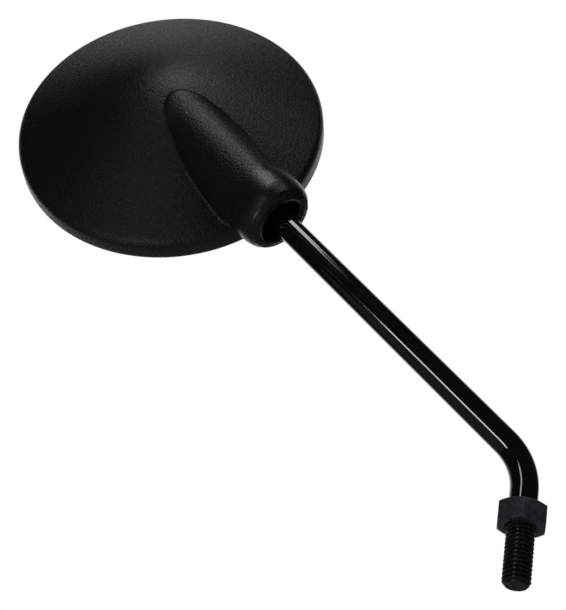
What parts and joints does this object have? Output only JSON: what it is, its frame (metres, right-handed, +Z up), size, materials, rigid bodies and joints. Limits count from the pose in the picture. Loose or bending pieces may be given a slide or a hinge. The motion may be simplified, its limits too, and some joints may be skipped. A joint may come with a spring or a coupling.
{
  "type": "motorcycle mirror",
  "caption": "Round convex rear-view mirror in a moulded black shell, turning on a ball joint at the end of a bent threaded steel stem.",
  "frame": {"origin": "axis of the threaded stud at the lower face of the lock nut, where the lever's boss bears", "axes": "+Z up along the stud, the stem leans towards +X, the glass faces -Y and the back of the head +Y"},
  "size_m": [0.1899, 0.028, 0.2097],
  "materials": {
    "shell_plastic": "black moulded ABS with a fine eroded grain",
    "mirror_glass": "back-silvered convex glass",
    "seal_rubber": "black soft PVC",
    "foam": "closed-cell foam",
    "stem_paint": "gloss black paint on steel",
    "nut_steel": "blue-black passivated steel",
    "bare_steel": "turned steel under dark grease",
    "seat_plastic": "moulded black acetal",
    "spring_steel": "bright spring wire",
    "zinc_steel": "zinc-plated steel"
  },
  "bodies": {
    "stem": {"stem": "stem_paint"},
    "nut": {"lock_nut": "nut_steel"},
    "ball": {"ball": "bare_steel"},
    "front_seat": {"front_seat": "seat_plastic"},
    "head": {"shell": "shell_plastic", "mirror_glass": "mirror_glass", "glass_seal": "seal_rubber", "foam_pad": "foam", "rear_seat": "seat_plastic", "spring": "spring_steel", "bracket": "zinc_steel", "bracket_screw_left": "zinc_steel", "bracket_screw_right": "zinc_steel"}
  },
  "joints": [
    {"name": "nut_travel", "type": "slide", "parent": "stem", "child": "nut", "axis": [0, 0, 1], "range_m": [-0.016, 0]},
    {"name": "head_swivel", "type": "hinge", "parent": "stem", "child": "ball", "pos_m": [0.0898, 0, 0.10259], "axis": [0.7373, 0, 0.6756], "continuous": true},
    {"name": "head_tilt", "type": "hinge", "parent": "ball", "child": "front_seat", "pos_m": [0.0898, 0, 0.10259], "axis": [0.6756, 0, -0.7373], "range_deg": [-14, 14]},
    {"name": "head_turn", "type": "hinge", "parent": "front_seat", "child": "head", "pos_m": [0.0898, 0, 0.10259], "axis": [0, 1, 0], "range_deg": [-14, 14]}
  ]
}
